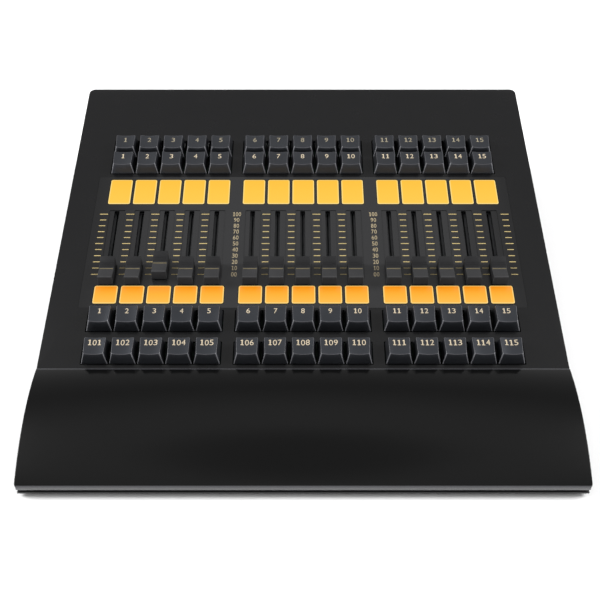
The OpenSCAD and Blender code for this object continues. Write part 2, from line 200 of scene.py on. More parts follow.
def add_node(tree, kind, **settings):
    node = tree.nodes.new(kind)
    for key, value in settings.items():
        if key in node.inputs:
            node.inputs[key].default_value = value
        else:
            setattr(node, key, value)
    return node


def noise(tree, scale, detail=3.0):
    """Noise over the piece's own coordinates, in metres."""
    place = add_node(tree, "ShaderNodeTexCoord")
    texture = add_node(tree, "ShaderNodeTexNoise", Scale=scale, Detail=detail)
    tree.links.new(place.outputs["Object"], texture.inputs["Vector"])
    return texture.outputs["Fac"]


def ramp(tree, source, stops):
    """Colours or greys along source, as (position, colour) stops."""
    node = add_node(tree, "ShaderNodeValToRGB")
    elements = node.color_ramp.elements
    while len(elements) < len(stops):
        elements.new(0.5)
    for element, (position, colour) in zip(elements, stops):
        element.position = position
        element.color = colour if hasattr(colour, "__len__") else (colour, colour, colour, 1)
    tree.links.new(source, node.inputs["Fac"])
    return node.outputs["Color"]


def grain(tree, shader, scale, height, strength=0.5):
    """A fine bump, such as moulded or powder-coated texture. height is in metres."""
    bump = add_node(tree, "ShaderNodeBump", Strength=strength, Distance=height)
    tree.links.new(noise(tree, scale, 2.0), bump.inputs["Height"])
    tree.links.new(bump.outputs["Normal"], shader.inputs["Normal"])


# The noise values at which a patch is at its darkest and at its lightest.
PATCH_LOW = 0.3
PATCH_HIGH = 0.7


def tinted(name, colour, rough, spread=0.06, patch=60, grain_scale=2200, grain_height=3e-5, **sockets):
    """Paint or plastic: slow patches in tone and gloss under a fine grain."""
    material, tree, shader = new_material(name, **sockets)
    shade = noise(tree, patch)
    dark = [c * (1 - 2 * spread) for c in colour[:3]] + [1]
    light = [c * (1 + 2 * spread) for c in colour[:3]] + [1]
    tone = ramp(tree, shade, [(PATCH_LOW, dark), (PATCH_HIGH, light)])
    gloss = ramp(tree, shade, [(PATCH_LOW, rough * (1 - spread)), (PATCH_HIGH, rough * (1 + spread))])
    tree.links.new(tone, shader.inputs["Base Color"])
    tree.links.new(gloss, shader.inputs["Roughness"])
    grain(tree, shader, grain_scale, grain_height)
    return material


# Distances from the middle of the desk, in metres, between which the painted pool of light on the film fades
# out.
FILM_MIDDLE = 0.105
FILM_END = 0.158
FILM_GRAIN = 3200
FILM_GRAIN_HEIGHT = 1e-5


def overlay_film():
    """The printed film, with painted light: charcoal in the middle as if under a pool of light, fading into
    the black of the panel at both ends.
    """
    material, tree, shader = new_material("overlay_film", Roughness=0.27, Specular_IOR_Level=0.36)
    place = add_node(tree, "ShaderNodeTexCoord")
    split = add_node(tree, "ShaderNodeSeparateXYZ")
    tree.links.new(place.outputs["Object"], split.inputs["Vector"])
    reach = add_node(tree, "ShaderNodeMath", operation="ABSOLUTE")
    tree.links.new(split.outputs["X"], reach.inputs[0])
    # Painted light: the film is lighter in the middle and darkens to black towards both ends.
    tone = ramp(tree, reach.outputs[0], [(FILM_MIDDLE, linear(29, 29, 30)), (FILM_END, linear(7, 7, 8))])
    tree.links.new(tone, shader.inputs["Base Color"])
    grain(tree, shader, FILM_GRAIN, FILM_GRAIN_HEIGHT)
    return material


def floor_paint():
    material, tree, shader = new_material("floor_paint", Roughness=0.9, Specular_IOR_Level=0.1)
    tone = ramp(tree, noise(tree, 2.0), [(PATCH_LOW, 0.7), (PATCH_HIGH, 0.74)])
    tree.links.new(tone, shader.inputs["Base Color"])
    return material


# Sockets of a mix node that mixes colours.
MIX_FACTOR = 0
MIX_FIRST = 6
MIX_SECOND = 7
MIX_RESULT = 2
LENS_GLOW = 0.8
LENS_BODY = 0.1
# How far the painted highlight along the rim of a lens reaches in from its edge, in millimetres.
RIM_HIGHLIGHT_FULL = 0.5
RIM_HIGHLIGHT_GONE = 1.0
LENS_GRAIN = 900
LENS_GRAIN_HEIGHT = 2e-5
LENS_GRAIN_STRENGTH = 0.3


def lens_material(name, rear, middle, front, rim_highlight):
    """An amber diffuser lit from below. It is deeper at its rear edge, and its rim carries a painted
    highlight.
    """
    material, tree, shader = new_material(name, Roughness=0.35, Emission_Strength=LENS_GLOW)
    uv = add_node(tree, "ShaderNodeUVMap", uv_map="lens")
    split = add_node(tree, "ShaderNodeSeparateXYZ")
    tree.links.new(uv.outputs["UV"], split.inputs["Vector"])
    along = ramp(tree, split.outputs["Y"], [(0.0, front), (0.5, middle), (1.0, rear)])
    rim_highlight_mask = ramp(tree, split.outputs["X"], [(RIM_HIGHLIGHT_FULL, 1), (RIM_HIGHLIGHT_GONE, 0)])
    mix = add_node(tree, "ShaderNodeMix", data_type="RGBA")
    tree.links.new(rim_highlight_mask, mix.inputs[MIX_FACTOR])
    tree.links.new(along, mix.inputs[MIX_FIRST])
    mix.inputs[MIX_SECOND].default_value = rim_highlight
    tree.links.new(mix.outputs[MIX_RESULT], shader.inputs["Emission Color"])
    shader.inputs["Base Color"].default_value = [c * LENS_BODY for c in middle[:3]] + [1]
    grain(tree, shader, LENS_GRAIN, LENS_GRAIN_HEIGHT, LENS_GRAIN_STRENGTH)
    return material


REST_FINISH = {"spread": 0.01, "grain_scale": 1500, "grain_height": 3e-6}
KEY_GRAIN = {"grain_scale": 3500, "grain_height": 1e-5}
CAP_GRAIN = {"grain_scale": 3000, "grain_height": 1e-5}

paint = {
    "surface": tinted("surface_paint", linear(6, 6, 7), 0.27, spread=0.02, Specular_IOR_Level=0.29),
    "overlay": overlay_film(),
    "rest": tinted("rest_paint", linear(7, 7, 7), 0.17, **REST_FINISH, Specular_IOR_Level=0.17),
    # Painted highlights: the rest's lip, also glossier, and its rear edge are drawn much lighter than the
    # rest's paint.
    "lip": tinted("lip_painted_highlight", linear(60, 60, 63), 0.14, **REST_FINISH, Specular_IOR_Level=1.0),
    "rest_edge_painted_highlight": tinted("rest_edge_painted_highlight", linear(66, 66, 70), 0.3, **REST_FINISH),
    "case": tinted("case_powder_coat", linear(20, 20, 21), 0.55, grain_scale=1500, grain_height=5e-5),
    "keycap": tinted("keycap_plastic", linear(23, 24, 26), 0.35, **KEY_GRAIN, Specular_IOR_Level=0.5,
                     Specular_Tint=(0.82, 0.87, 1.0, 1)),
    # Painted highlights on the keycaps' front corners and on the fold round their tops.
    "keycap_corner_highlight": tinted("keycap_corner_highlight", linear(92, 92, 96), 0.3, **KEY_GRAIN),
    "keycap_fold_highlight": tinted("keycap_fold_highlight", linear(56, 56, 60), 0.32, **KEY_GRAIN),
    "fader_cap": tinted("fader_cap_plastic", linear(41, 41, 42), 0.6, **CAP_GRAIN, Specular_IOR_Level=0.1),
    # Painted light and shade: the cap's nose is drawn lighter, and its grooved rear half darker, than the
    # rest of the cap.
    "fader_nose_painted_light": tinted("fader_nose_painted_light", linear(60, 60, 61), 0.65, **CAP_GRAIN, Specular_IOR_Level=0.03),
    "fader_back_painted_shade": tinted("fader_back_painted_shade", linear(29, 29, 30), 0.6, **CAP_GRAIN, Specular_IOR_Level=0.1),
    "slider": tinted("slider_plastic", linear(120, 70, 45), 0.45),
    "switch": tinted("switch_plastic", linear(14, 14, 15), 0.5),
    "cream_ink": tinted("cream_ink", linear(160, 147, 125), 0.55, spread=0.03),
    "dim_ink": tinted("dim_ink", linear(118, 110, 92), 0.55, spread=0.03),
    "scale_ink": tinted("scale_ink", linear(150, 133, 86), 0.55, spread=0.05),
    "number_ink": tinted("number_ink", linear(140, 127, 100), 0.55, spread=0.03),
    "index": tinted("index_inlay", linear(98, 87, 56), 0.5, spread=0.05),
    "steel": tinted("plated_steel", linear(150, 152, 156), 0.32, patch=200, Metallic=1.0),
    "dark_steel": tinted("blackened_steel", linear(52, 53, 56), 0.45, patch=200, Metallic=0.6),
    "dull_steel": tinted("dull_steel", linear(66, 67, 69), 0.6, patch=200),
    "board": tinted("board_mask", linear(10, 30, 20), 0.5),
    "aluminium": tinted("aluminium_cage", linear(176, 178, 182), 0.35, patch=150, Metallic=1.0),
    "inlet": tinted("inlet_plastic", linear(20, 20, 21), 0.4),
    "rocker": tinted("rocker_plastic", linear(16, 16, 17), 0.22, grain_height=4e-6),
    "rubber": tinted("foot_rubber", linear(18, 18, 18), 0.75, grain_scale=1800, grain_height=4e-5),
    # The last colour of each lens is its painted rim highlight.
    "tall_lens": lens_material("tall_lens", linear(255, 190, 44), linear(255, 196, 55),
                               linear(255, 200, 66), linear(255, 226, 140)),
    "square_lens": lens_material("square_lens", linear(255, 142, 8), linear(255, 175, 28),
                                 linear(252, 190, 70), linear(255, 220, 130)),
}

# ---------------------------------------------------------------- mesh tools

JOIN_DISTANCE = 1e-4
SHARP = math.radians(30)


def to_mesh(name, bm):
    """The mesh of what was built in bm, which is given up."""
    mesh = bpy.data.meshes.new(name)
    bm.to_mesh(mesh)
    bm.free()
    return mesh


def circle(radius, sides):
    return [(radius * math.cos(math.tau * k / sides), radius * math.sin(math.tau * k / sides))
            for k in range(sides)]


def rounded_rect(low, high, radius, steps=4, along=1):
    """Points of a rectangle with round corners, anticlockwise from its lower right corner.

    The straight parts along x are cut into as many pieces as along says."""
    points = []
    middles = [(high[0] - radius, low[1] + radius, -90), (high[0] - radius, high[1] - radius, 0),
               (low[0] + radius, high[1] - radius, 90), (low[0] + radius, low[1] + radius, 180)]
    for corner, (x, y, start) in enumerate(middles):
        for step in range(steps + 1):
            angle = math.radians(start + 90 * step / steps)
            points.append((x + radius * math.cos(angle), y + radius * math.sin(angle)))
        if corner in (1, 3):
            first, last = points[-1][0], -points[-1][0] + low[0] + high[0]
            points += [(first + (last - first) * k / along, points[-1][1]) for k in range(1, along)]
    return points


def centred_rect(x, y, w, l, radius, steps=4):
    return rounded_rect((x - w / 2, y - l / 2), (x + w / 2, y + l / 2), radius, steps)


def fill(bm, loops, n):
    """A flat face with holes: the first loop less the others, at height n."""
    points = [p for loop in loops for p in loop]
    verts = [bm.verts.new((x, y, n)) for x, y in points]
    flat = [[Vector((x, y, 0)) for x, y in loop] for loop in loops]
    for triangle in tessellate_polygon(flat):
        bm.faces.new([verts[i] for i in triangle])


def wall(bm, loop, n0, n1):
    """An upright wall along a closed loop."""
    lower = [bm.verts.new((x, y, n0)) for x, y in loop]
    upper = [bm.verts.new((x, y, n1)) for x, y in loop]
    for i in range(len(loop)):
        j = (i + 1) % len(loop)
        bm.faces.new((lower[i], lower[j], upper[j], upper[i]))


def close(bm):
    """Joins the faces and walls into a closed mesh with its normals outwards."""
    bmesh.ops.remove_doubles(bm, verts=bm.verts, dist=JOIN_DISTANCE)
    bmesh.ops.recalc_face_normals(bm, faces=bm.faces)


def round_edges(bm, chosen, radius, segments):
    """Rounds the sharp edges for which chosen(edge) holds."""
    edges = [e for e in bm.edges if len(e.link_faces) == 2 and e.calc_face_angle() > SHARP and chosen(e)]
    bmesh.ops.bevel(bm, geom=edges, offset=radius, segments=segments, profile=0.5, affect="EDGES",
                    clamp_overlap=True)


def plate(bm, outer, holes, n0, n1):
    """A plate with holes, from n0 to n1."""
    fill(bm, [outer] + holes, n0)
    fill(bm, [outer] + holes, n1)
    for loop in [outer] + holes:
        wall(bm, loop, n0, n1)
    close(bm)


def block(bm, low, high, radius=0.0, segments=2):
    """A box, with its edges rounded if radius is given."""
    made = bmesh.ops.create_cube(bm, size=1)["verts"]
    middle = [(a + b) / 2 for a, b in zip(low, high)]
    size = [b - a for a, b in zip(low, high)]
    for v in made:
        v.co = Vector([middle[i] + v.co[i] * size[i] for i in range(3)])
    if radius:
        edges = list({e for v in made for e in v.link_edges})
        bmesh.ops.bevel(bm, geom=edges, offset=radius, segments=segments, profile=0.5, affect="EDGES")


def loft(bm, rings):
    """A skin through rings of points, with a flat cap at either end. It returns the rings' vertices."""
    rows = [[bm.verts.new(p) for p in ring] for ring in rings]
    for below, above in zip(rows, rows[1:]):
        for i in range(len(below)):
            j = (i + 1) % len(below)
            bm.faces.new((below[i], below[j], above[j], above[i]))
    bm.faces.new(list(reversed(rows[0])))
    bm.faces.new(rows[-1])
    return rows


def make_piece(name, bm, body, materials, stands_for=(), smooth=35):
    """Turns slope millimetres into an object that rides on a body."""
    mesh = to_mesh(name, bm)
    mesh.transform(SLOPE)
    return make_object(name, mesh, body, materials, stands_for, smooth)


def make_object(name, mesh, body, materials, stands_for=(), smooth=35):
    """An object that rides on a body. stands_for names the CAD nodes that it is drawn in place of."""
    for material in materials:
        mesh.materials.append(material)
    mesh.polygons.foreach_set("use_smooth", [True] * len(mesh.polygons))
    mesh.set_sharp_from_angle(angle=math.radians(smooth))
    piece = bpy.data.objects.new(name, mesh)
    bpy.context.scene.collection.objects.link(piece)
    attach(piece, body)
    if stands_for:
        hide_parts(*stands_for)
    return piece


# ---------------------------------------------------------------- printed numbers

INK_T = 0.05
INK_LIFT = 0.03
DIGIT_PITCH = 0.71
DIGIT_W = 0.58
FOOTED_ONE = [(-0.23, -0.5), (0.25, -0.5), (0.25, -0.37), (0.1, -0.37), (0.1, 0.5), (-0.05, 0.5),
              (-0.25, 0.36), (-0.19, 0.25), (-0.08, 0.3), (-0.08, -0.37), (-0.23, -0.37)]


def one_mesh():
    """The digit 1 with a flag and a foot, 1 high and centred on the origin."""
    bm = bmesh.new()
    plate(bm, FOOTED_ONE, [], -0.5, 0.5)
    return to_mesh("one", bm)


def digit_mesh(digit):
    """One printed digit, 1 high and centred on the origin."""
    if digit == "1":
        return one_mesh()
    curve = bpy.data.curves.new("digit", "FONT")
    curve.body = digit
    curve.extrude = 0.5
    holder = bpy.data.objects.new("digit", curve)
    mesh = bpy.data.meshes.new_from_object(holder)
    bpy.data.objects.remove(holder)
    bpy.data.curves.remove(curve)
    low = [min(v.co[axis] for v in mesh.vertices) for axis in range(3)]
    size = [max(v.co[axis] for v in mesh.vertices) - low[axis] for axis in range(3)]
    for v in mesh.vertices:
        u = [(v.co[axis] - low[axis]) / size[axis] - 0.5 for axis in range(3)]
        v.co = (u[0] * DIGIT_W, u[1], u[2])
    return mesh


digit_meshes = {}


def number_mesh(text, height):
    """The mesh of a printed number, in millimetres, centred on the origin."""
    bm = bmesh.new()
    for i, digit in enumerate(text):
        if digit not in digit_meshes:
            digit_meshes[digit] = digit_mesh(digit)
        copy = digit_meshes[digit].copy()
        across = (i - (len(text) - 1) / 2) * DIGIT_PITCH * height
        copy.transform(Matrix.Translation((across, 0, 0)) @ Matrix.Diagonal((height, height, INK_T, 1)))
        bm.from_mesh(copy)
        bpy.data.meshes.remove(copy)
    return to_mesh("number", bm)


# ---------------------------------------------------------------- keys

SKIRT_N = -0.4
CAP_TOP = 8.0
CAP_TOP_W = 14.2
CAP_FLARE = 0.04
CAP_TOP_L = 13.6
CAP_TOP_SHIFT = 0.7
CAP_TOP_BACK = CAP_TOP_SHIFT + CAP_TOP_L / 2
CAP_WALL = 1.3
CAP_FILLET = 0.3
CAP_CORNERS = 4
CAP_ALONG = 8
DISH_R = 30.0
DISH_DEPTH = 0.8
CAP_ROOF = 2.5
CAP_FOOT = 0.25
INNER_FOLD = 0.6
FILLET_STEPS = 4
TOP_INSETS = (0.8, 1.6, 2.6, 3.6, 4.6, 5.6, 6.5)
BOSS_R = 2.7
BOSS_LOW = 2.3
BOSS_HIGH = CAP_TOP - CAP_ROOF + 0.2
BOSS_SIDES = 24


def top_drop(x):
    """How far the finger dish in the top of a keycap lies below its highest edge."""
    return min(0.0, x * x / (2 * DISH_R) - DISH_DEPTH)


def cap_outline(t, inset):
    """The keycap's outline at t from its skirt, 0, to its top, 1, pulled in by inset."""
    def blend(skirt, top):
        return skirt + (top - skirt) * t

    def flared(x, s):
        return x * (1 + CAP_FLARE * t * (s - CAP_TOP_SHIFT) / (CAP_TOP_L / 2)), s

    half_w = blend(CAP_BASE / 2, CAP_TOP_W / 2) - inset
    front = blend(-CAP_BASE / 2, CAP_TOP_BACK - CAP_TOP_L) + inset
    back = blend(CAP_BASE / 2, CAP_TOP_BACK) - inset
    radius = max(0.08, blend(0.5, 0.7) - inset)
    outline = rounded_rect((-half_w, front), (half_w, back), radius, CAP_CORNERS, CAP_ALONG)
    return [flared(x, s) for x, s in outline]


def cap_ring(n, inset, follow_top):
    """A ring of the keycap's skin at height n, which follows the shape of the top if follow_top is 1."""
    ring = []
    for i, (x, s) in enumerate(cap_outline(1, inset)):
        height = n + follow_top * top_drop(x)
        t = (height - SKIRT_N) / (CAP_TOP - SKIRT_N)
        px, ps = cap_outline(min(t, 1), inset)[i]
        ring.append((px, ps, height))
    return ring


def cap_rings():
    """The rings of a keycap's skin: those inside, those of the skirt, of the fold, and of the top."""
    ceiling = CAP_TOP - CAP_ROOF
    inside = [cap_ring(ceiling, CAP_WALL + INNER_FOLD, 0), cap_ring(ceiling, CAP_WALL, 0),
              cap_ring(SKIRT_N, CAP_WALL, 0)]
    skirt = [cap_ring(SKIRT_N, CAP_FOOT, 0), cap_ring(SKIRT_N + CAP_FOOT, 0, 0),
             cap_ring(CAP_TOP / 2, 0, 0.5)]
    fold = []
    for step in range(FILLET_STEPS + 1):
        angle = math.radians(90 * step / FILLET_STEPS)
        height = CAP_TOP - CAP_FILLET * (1 - math.sin(angle))
        fold.append(cap_ring(height, CAP_FILLET * (1 - math.cos(angle)), 1))
    top = [cap_ring(CAP_TOP, inset, 1) for inset in TOP_INSETS]
    return inside, skirt, fold, top


def paint_key_highlights(bm, outer_rows, fold_rows):
    """Paints highlights: the front corners of a keycap take the second material and the fold round its top
    the third, both lighter than the keycap.
    """
    front_right = 0
    front_left = 3 * (CAP_CORNERS + 1) + CAP_ALONG - 1
    corners = {row[k] for row in outer_rows for start in (front_right, front_left)
               for k in range(start, start + CAP_CORNERS + 1)}
    fold = {v for row in fold_rows for v in row}
    for face in bm.faces:
        if all(v in corners for v in face.verts):
            face.material_index = 1
        elif all(v in fold for v in face.verts):
            face.material_index = 2


def keycap_mesh():
    """One hollow keycap with its boss, in slope millimetres about its own middle."""
    bm = bmesh.new()
    inside, skirt, fold, top = cap_rings()
    rows = loft(bm, inside + skirt + fold + top)
    outer_rows = rows[len(inside):len(inside + skirt + fold)]
    paint_key_highlights(bm, outer_rows, outer_rows[len(skirt):])
    loft(bm, [[(x, y, n) for x, y in circle(BOSS_R, BOSS_SIDES)] for n in (BOSS_LOW, BOSS_HIGH)])
    return to_mesh("keycap", bm)


SLIDER_ROUND = 0.2
CROSS_ROUND = 0.1
SLIDER_LOW = (-3.5, -2.5, -6.4)
SLIDER_HIGH = (3.5, 2.5, -1.7)
CROSS_REACH = 2.0
CROSS_HALF = 0.6
CROSS_LOW = -1.8
CROSS_HIGH = 2.2


def slider_mesh():
    """The moving slider of a key switch, with the cross that holds the keycap."""
    bm = bmesh.new()
    block(bm, SLIDER_LOW, SLIDER_HIGH, SLIDER_ROUND)
    for x, y in ((CROSS_REACH, CROSS_HALF), (CROSS_HALF, CROSS_REACH)):
        block(bm, (-x, -y, CROSS_LOW), (x, y, CROSS_HIGH), CROSS_ROUND, 1)
    return to_mesh("slider", bm)


LEGEND_HEIGHT = {"a": 4.7, "b": 4.7, "c": 4.3, "d": 4.6}
LEGEND_SHIFT = {"a": 2.7, "b": 2.9, "c": 3.3, "d": 3.5}
LEGEND_START = {"a": 1, "b": 1, "c": 1, "d": 101}


def make_keys():
    sources = (("keycap", keycap_mesh(), ("keycap", "keycap_corner_highlight", "keycap_fold_highlight")),
               ("key_slider", slider_mesh(), ("slider",)))
    for row, s in ROW_S.items():
        for i, x in enumerate(column_x):
            body = f"{ROW_BODY[row]}_{i + 1:02d}"
            place = SLOPE @ Matrix.Translation((x, s, 0))
            tag = f"{row}_{i + 1:02d}"
            for name, source, materials in sources:
                mesh = source.copy()
                mesh.transform(place)
                make_object(f"{name}_{tag}", mesh, body, [paint[m] for m in materials], [body])
            legend = number_mesh(str(LEGEND_START[row] + i), LEGEND_HEIGHT[row])
            for v in legend.vertices:
                v.co.y += LEGEND_SHIFT[row]
                v.co.z += CAP_TOP + top_drop(v.co.x) + INK_LIFT
            legend.transform(place)
            # The numbers on row a are drawn in a dimmer ink than the others.
            ink = "dim_ink" if row == "a" else "cream_ink"
            make_object(f"key_number_{tag}", legend, body, [paint[ink]], smooth=20)


# ---------------------------------------------------------------- faders

CAP_HALF = 10.3
CAP_BOTTOM = 0.8
CAP_END = 8.8
CAP_MIDDLE = 6.5
CAP_LEAN = 0.2
CAP_EDGE = 0.6
CAP_SHOULDER = CAP_HALF - CAP_LEAN - CAP_EDGE
CAP_TAPER = 0.35
CAP_ROUND = 0.4
VALLEY_HALF = 1.0
RIBS = (2.0, 3.2, 4.4)
RIB_HALF = 0.35
RIB_DEPTH = 0.28
RAIL_N = -10.0
RAIL_X = 2.9
# Width, length and height of the carriage.
CARRIAGE = (8.4, 9.0, 4.4)
LEVER_W = 0.8
LEVER_L = 5.0
LEVER_HIGH = 4.0
LEVER_ROUND = 0.15
# How far the lever's foot is let into the carriage.
LEVER_SUNK = 0.1
CARRIAGE_CORNER = 0.5
BORE_R = 1.06
BORE_SIDES = 24
FADER_CAP_W = fader_high.x - fader_low.x
# From front to rear: the index line, and behind it a dark line of painted shade in place of a groove.
INDEX_LINE = (-0.3, 0.2)
GROOVE_SHADE_LINE = (0.3, 0.95)
INDEX_MARGIN = 0.65
INDEX_ROUND = 0.05
INDEX_LOW = CAP_MIDDLE - 0.4
INDEX_HIGH = CAP_MIDDLE + 0.05


def cap_height(s):
    """The fader cap's top: a shallow valley with fine grooves behind its index line."""
    slope = (CAP_END - CAP_MIDDLE) / (CAP_SHOULDER - VALLEY_HALF)
    height = CAP_MIDDLE + slope * max(0, abs(s) - VALLEY_HALF)
    for rib in RIBS:
        height -= RIB_DEPTH * max(0, 1 - abs(s - rib) / RIB_HALF)
    return height


def fader_cap_profile():
    """The cap's side view from front to back along its top, and back along its bottom."""
    def edge(sign):
        turns = [math.radians(22.5 * step) for step in range(5)]
        return [(sign * (CAP_SHOULDER + CAP_EDGE * math.cos(a)), CAP_END - CAP_EDGE + CAP_EDGE * math.sin(a))
                for a in turns]

    places = [-VALLEY_HALF, VALLEY_HALF]
    for rib in RIBS:
        places += [rib - RIB_HALF, rib, rib + RIB_HALF]
    middle = [(s, cap_height(s)) for s in places]
    return [(-CAP_HALF, CAP_BOTTOM)] + edge(-1) + middle + edge(1)[::-1] + [(CAP_HALF, CAP_BOTTOM)]


def fader_cap_mesh():
    """A cap whose nose takes the second material, painted lighter as if lit from the front, and whose grooved
    rear half the third, painted darker as if in shade.
    """
    bm = bmesh.new()
    profile = fader_cap_profile()

    def side(sign):
        return [(sign * (FADER_CAP_W / 2 - CAP_TAPER * (n - CAP_BOTTOM) / CAP_END), s, n) for s, n in profile]

    loft(bm, [side(-1), side(1)])
    bmesh.ops.recalc_face_normals(bm, faces=bm.faces)
    round_edges(bm, on_one_side, CAP_ROUND, 3)
    for face in bm.faces:
        s = face.calc_center_median().y
        if s < -CAP_SHOULDER:
            face.material_index = 1
        elif s > VALLEY_HALF:
            face.material_index = 2
    return to_mesh("fader_cap", bm)


def on_one_side(edge):
    """Whether both ends of an edge lie on the same side of the middle."""
    return edge.verts[0].co.x * edge.verts[1].co.x > 0


def carriage_mesh():
    """The carriage with its two rail bores, and the lever that stands on it."""
    bm = bmesh.new()
    w, l, h = CARRIAGE
    bores = [[(rail + x, y) for x, y in circle(BORE_R, BORE_SIDES)] for rail in (-RAIL_X, RAIL_X)]
    plate(bm, centred_rect(0, 0, w, h, CARRIAGE_CORNER, 3), bores, -l / 2, l / 2)
    bmesh.ops.rotate(bm, verts=bm.verts, cent=(0, 0, 0), matrix=Matrix.Rotation(math.pi / 2, 3, "X"))
    bmesh.ops.translate(bm, verts=bm.verts, vec=(0, 0, RAIL_N))
    low = (-LEVER_W / 2, -LEVER_L / 2, RAIL_N + h / 2 - LEVER_SUNK)
    block(bm, low, (LEVER_W / 2, LEVER_L / 2, LEVER_HIGH), LEVER_ROUND)
    return to_mesh("carriage", bm)


def index_mesh():
    """The cap's index line, with a dark line of painted groove shade behind it in the second material."""
    bm = bmesh.new()
    half = FADER_CAP_W / 2 - INDEX_MARGIN
    block(bm, (-half, INDEX_LINE[0], INDEX_LOW), (half, INDEX_LINE[1], INDEX_HIGH), INDEX_ROUND, 1)
    line = set(bm.faces)
    block(bm, (-half, GROOVE_SHADE_LINE[0], INDEX_LOW), (half, GROOVE_SHADE_LINE[1], INDEX_HIGH), INDEX_ROUND, 1)
    for face in bm.faces:
        face.material_index = int(face not in line)
    return to_mesh("index", bm)


def make_faders():
    sources = (("fader_cap", fader_cap_mesh(), ("fader_cap", "fader_nose_painted_light", "fader_back_painted_shade")),
               ("fader_index", index_mesh(), ("index", "switch")),
               ("fader_carriage", carriage_mesh(), ("steel",)))
    for i, x in enumerate(column_x):
        body = f"fader_{i + 1:02d}"
        low, high = slope_box(body)
        place = SLOPE @ Matrix.Translation((x, (low.y + high.y) / 2, 0))
        for name, source, materials in sources:
            mesh = source.copy()
            mesh.transform(place)
            make_object(f"{name}_{i + 1:02d}", mesh, body, [paint[m] for m in materials], [body])


# ---------------------------------------------------------------- control surface

LABEL_SHIFT = 0.5
WINDOW_W = 16.8
WINDOW_R = 1.5
# How much wider an opening is than its lens.
WINDOW_GAP = 0.9
SQUARE_WINDOW = (64.85, 16.3)
TALL_WINDOW = (167.6, 26.0)
SLOT_W = 3.7
SLOT_END = 3.6
FADER_TRAVEL = 60.0
KEY_GAP = 0.7
OVERLAY_T = 0.4
overlay_low, overlay_high = slope_box("fader_overlay")
SLOT_S = (FADER_ZERO - SLOT_END, FADER_ZERO + FADER_TRAVEL + SLOT_END)
BAND_W = 12.2
BAND_EXTRA = 1.0
BAND_CORNER = 0.8
SLOT_CORNER = 0.6
BANK_CORNER = 0.6
OVERLAY_R = 1.0
BED_GAP = 0.15
PANEL_CORNER = 5.0
RIM_BAND = 6.0
RIM_ROUND = 0.9
OPENING_ROUND = 0.2
SEAM_BAND = 0.5
TOUCH = 0.01


def window_loops():
    """The windows' openings, with a dark gap round each lens."""
    return [centred_rect(x + LABEL_SHIFT, s, WINDOW_W + WINDOW_GAP, l + WINDOW_GAP, WINDOW_R + WINDOW_GAP / 2)
            for x in column_x for s, l in (SQUARE_WINDOW, TALL_WINDOW)]


def slot_loops():
    half = SLOT_W / 2
    return [rounded_rect((x - half, SLOT_S[0]), (x + half, SLOT_S[1]), SLOT_CORNER, 2) for x in column_x]


def bank_loops():
    reach = CAP_BASE / 2 + KEY_GAP
    loops = []
    for first in range(0, COLUMNS, BANK):
        for s0, s1 in ((ROW_S["d"], ROW_S["d"]), (ROW_S["c"], ROW_S["c"]), (ROW_S["b"], ROW_S["a"])):
            loops.append(rounded_rect((column_x[first] - reach, s0 - reach),
                                      (column_x[first + BANK - 1] + reach, s1 + reach), BANK_CORNER, 3))
    return loops


def panel_outline():
    """Square corners at the seam and round ones at the rear."""
    rear = rounded_rect((-CASE_W / 2, 0), (CASE_W / 2, PANEL_D), PANEL_CORNER, 8)
    upper = [p for p in rear if p[1] > PANEL_D / 2]
    return [(-CASE_W / 2, 0), (CASE_W / 2, 0)] + upper


def overlay_outline(gap):
    low = (overlay_low.x - gap, overlay_low.y - gap)
    high = (overlay_high.x + gap, overlay_high.y + gap)
    return rounded_rect(low, high, OVERLAY_R, 3)


def at_rim(v):
    return abs(v.co.x) > CASE_W / 2 - RIM_BAND or v.co.y > PANEL_D - RIM_BAND


def on_rim(edge):
    """Whether an edge is at the top of the panel's rim, anywhere but at the seam."""
    return all(v.co.z > -TOUCH and at_rim(v) for v in edge.verts) \
        and any(v.co.y > SEAM_BAND for v in edge.verts)


def on_opening(edge):
    """Whether an edge is at the top of an opening in the panel."""
    return all(v.co.z > -TOUCH and not at_rim(v) and v.co.y > SEAM_BAND for v in edge.verts)


def make_top_panel():
    """The control surface. The bed of its overlay takes the second material."""
    bm = bmesh.new()
    outer, banks, bed = panel_outline(), bank_loops(), overlay_outline(BED_GAP)
    through = window_loops() + slot_loops()
    fill(bm, [outer, bed] + banks, 0)
    fill(bm, [bed] + through, -OVERLAY_T)
    fill(bm, [outer] + banks + through, -PANEL_T)
    wall(bm, outer, -PANEL_T, 0)
    wall(bm, bed, -OVERLAY_T, 0)
    for loop in banks:
        wall(bm, loop, -PANEL_T, 0)
    for loop in through:
        wall(bm, loop, -PANEL_T, -OVERLAY_T)
    close(bm)
    for face in bm.faces:
        if all(abs(v.co.z + OVERLAY_T) < TOUCH for v in face.verts):
            face.material_index = 1
    round_edges(bm, on_rim, RIM_ROUND, 4)
    round_edges(bm, on_opening, OPENING_ROUND, 1)
    make_piece("control_surface", bm, "case", [paint["surface"], paint["overlay"]],
               stands_for=["top_panel"])


def make_overlay():
    """The printed film, cut out round every window and in a band round every slot."""
    bm = bmesh.new()
    middle = (SLOT_S[0] + SLOT_S[1]) / 2
    length = SLOT_S[1] - SLOT_S[0] + BAND_EXTRA
    bands = [centred_rect(x + LABEL_SHIFT, middle, BAND_W, length, BAND_CORNER, 3) for x in column_x]
    plate(bm, overlay_outline(0), window_loops() + bands, -OVERLAY_T, 0)
    make_piece("printed_overlay", bm, "case", [paint["overlay"]], stands_for=["fader_overlay"])


LENS_FLANGE = 0.6
FLANGE_LOW = -3.0
FLANGE_HIGH = -2.1
LENS_EDGE_N = -0.05
LENS_TOP_N = 0.3
LENS_ROUND = 0.35
LENS_INSETS = (0.7, 1.2, 3, 6)


